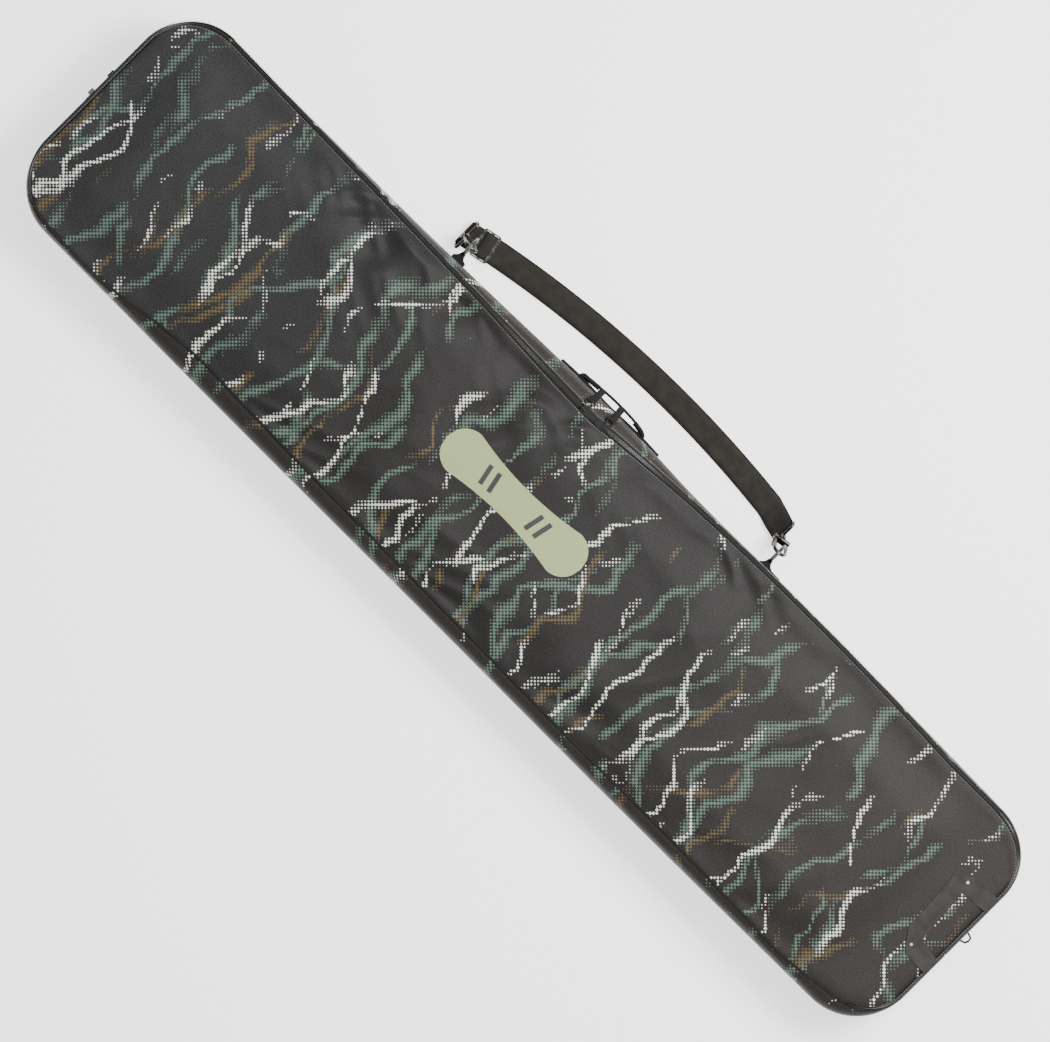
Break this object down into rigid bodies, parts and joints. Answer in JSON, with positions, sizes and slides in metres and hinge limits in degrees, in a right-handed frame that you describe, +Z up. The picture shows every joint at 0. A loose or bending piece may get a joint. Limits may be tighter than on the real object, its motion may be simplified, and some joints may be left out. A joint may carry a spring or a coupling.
{
  "type": "snowboard bag",
  "caption": "Long padded bag lying on its back, with a zipped front that folds open, a side handle, an end handle and a clip-on shoulder strap on swivel snap hooks.",
  "frame": {"origin": "a point on the underside of the back panel, midway along the bag and 1.5 mm towards the hinge side from the middle of its width", "axes": "+X from the nose end to the tail end, +Y to the side with the zip, handle and shoulder strap, +Z up through the front"},
  "size_m": [1.669, 0.4709, 0.1303],
  "materials": {
    "print_fabric": "printed polyester, slight sheen",
    "lining": "plain woven lining",
    "foam": "closed-cell foam, matt",
    "piping": "black corded piping",
    "zip_tape": "black woven tape",
    "zip_coil": "black nylon coil",
    "slider_metal": "black enamel, glossy",
    "webbing": "ribbed black webbing",
    "dark_metal": "dark polished nickel",
    "spring_steel": "bright",
    "emblem_print": "pale green ink",
    "label": "woven label",
    "stud_print": "small pale studs"
  },
  "bodies": {
    "shell": {"back_panel": "print_fabric", "back_foam": "foam", "back_lining": "lining", "back_piping": "piping", "gusset_fabric_strap_side": "print_fabric", "gusset_fabric_hinge_side": "print_fabric", "gusset_fabric_nose": "print_fabric", "gusset_fabric_tail": "print_fabric", "gusset_foam_strap_side": "foam", "gusset_foam_hinge_side": "foam", "gusset_foam_nose": "foam", "gusset_foam_tail": "foam", "gusset_lining_strap_side": "lining", "gusset_lining_hinge_side": "lining", "gusset_lining_nose": "lining", "gusset_lining_tail": "lining", "roll_foam_strap_side": "foam", "roll_foam_hinge_side": "foam", "zip_tape_body": "zip_tape", "zip_coil_body": "zip_coil", "zip_end_stops": "zip_tape", "handle_strip": "webbing", "handle_grip": "webbing", "ring_tab_nose": "webbing", "ring_tab_tail": "webbing", "tail_loop": "webbing", "nose_loop": "webbing", "nose_label": "label"},
    "front": {"front_panel": "print_fabric", "front_foam": "foam", "front_lining": "lining", "front_piping": "piping", "front_emblem": "emblem_print", "zip_tape_front": "zip_tape", "zip_coil_front": "zip_coil"},
    "haul_handle": {"haul_handle": "webbing", "haul_handle_studs": "stud_print"},
    "slider_nose": {"slider_nose": "slider_metal"},
    "slider_tail": {"slider_tail": "slider_metal"},
    "pull_nose": {"puller_nose": "slider_metal", "pull_tab_nose": "webbing"},
    "pull_tail": {"puller_tail": "slider_metal", "pull_tab_tail": "webbing"},
    "ring_nose": {"d_ring_nose": "dark_metal"},
    "ring_tail": {"d_ring_tail": "dark_metal"},
    "strap": {"strap_webbing": "webbing", "strap_eye_nose": "dark_metal", "strap_eye_tail": "dark_metal"},
    "adjuster": {"adjuster": "dark_metal", "adjuster_webbing": "webbing"},
    "hook_nose": {"hook_nose": "dark_metal", "gate_pin_nose": "dark_metal", "gate_spring_nose": "spring_steel"},
    "hook_tail": {"hook_tail": "dark_metal", "gate_pin_tail": "dark_metal", "gate_spring_tail": "spring_steel"},
    "gate_nose": {"gate_nose": "dark_metal"},
    "gate_tail": {"gate_tail": "dark_metal"}
  },
  "joints": [
    {"name": "front_open", "type": "hinge", "parent": "shell", "child": "front", "pos_m": [0, -0.163, 0.1245], "axis": [1, 0, 0], "range_deg": [0, 170]},
    {"name": "haul_handle_lift", "type": "hinge", "parent": "front", "child": "haul_handle", "pos_m": [0.8025, 0.02, 0.1248], "axis": [0, 1, 0], "range_deg": [0, 170]},
    {"name": "slider_nose_run", "type": "slide", "parent": "front", "child": "slider_nose", "axis": [-0.9998, 0.0191, 0], "range_m": [0, 0.6]},
    {"name": "slider_tail_run", "type": "hinge", "parent": "front", "child": "slider_tail", "pos_m": [0.384, -4.8185, 0.12], "axis": [0, 0, -1], "range_deg": [0, 7.2]},
    {"name": "pull_nose_flip", "type": "hinge", "parent": "slider_nose", "child": "pull_nose", "pos_m": [-0.0475, 0.16487, 0.1274], "axis": [0.9998, -0.0191, 0], "range_deg": [0, 170]},
    {"name": "pull_tail_flip", "type": "hinge", "parent": "slider_tail", "child": "pull_tail", "pos_m": [-0.00852, 0.16607, 0.1274], "axis": [0.9968, 0.0798, 0], "range_deg": [0, 170]},
    {"name": "strap_swing", "type": "hinge", "parent": "shell", "child": "strap", "pos_m": [0, 0.211, 0.072], "axis": [1, 0, 0], "range_deg": [0, 140]},
    {"name": "adjuster_run", "type": "hinge", "parent": "strap", "child": "adjuster", "pos_m": [0.03569, -1.43561, 0.003], "axis": [0, 0, -1], "range_deg": [0, 14]},
    {"name": "ring_nose_swing", "type": "hinge", "parent": "shell", "child": "ring_nose", "pos_m": [-0.314, 0.199, 0.072], "axis": [0, 0, 1], "range_deg": [-6, 6]},
    {"name": "hook_nose_swivel", "type": "hinge", "parent": "strap", "child": "hook_nose", "pos_m": [-0.314, 0.21424, 0.05633], "axis": [-0.4003, 0.1858, -0.8973], "range_deg": [-20, 20]},
    {"name": "gate_nose_open", "type": "hinge", "parent": "hook_nose", "child": "gate_nose", "pos_m": [-0.33215, 0.21806, 0.03791], "axis": [0, 0.9792, 0.2028], "range_deg": [0, 25], "stiffness_Nm_per_rad": 0.02, "springref_deg": -17.19},
    {"name": "ring_tail_swing", "type": "hinge", "parent": "shell", "child": "ring_tail", "pos_m": [0.278, 0.199, 0.072], "axis": [0, 0, 1], "range_deg": [-6, 6]},
    {"name": "hook_tail_swivel", "type": "hinge", "parent": "strap", "child": "hook_tail", "pos_m": [0.278, 0.21873, 0.05799], "axis": [-0.2689, 0.4655, -0.8432], "range_deg": [-20, 20]},
    {"name": "gate_tail_open", "type": "hinge", "parent": "hook_tail", "child": "gate_tail", "pos_m": [0.26265, 0.22895, 0.03948], "axis": [0, 0.8755, 0.4833], "range_deg": [0, 25], "stiffness_Nm_per_rad": 0.02, "springref_deg": -17.19}
  ]
}
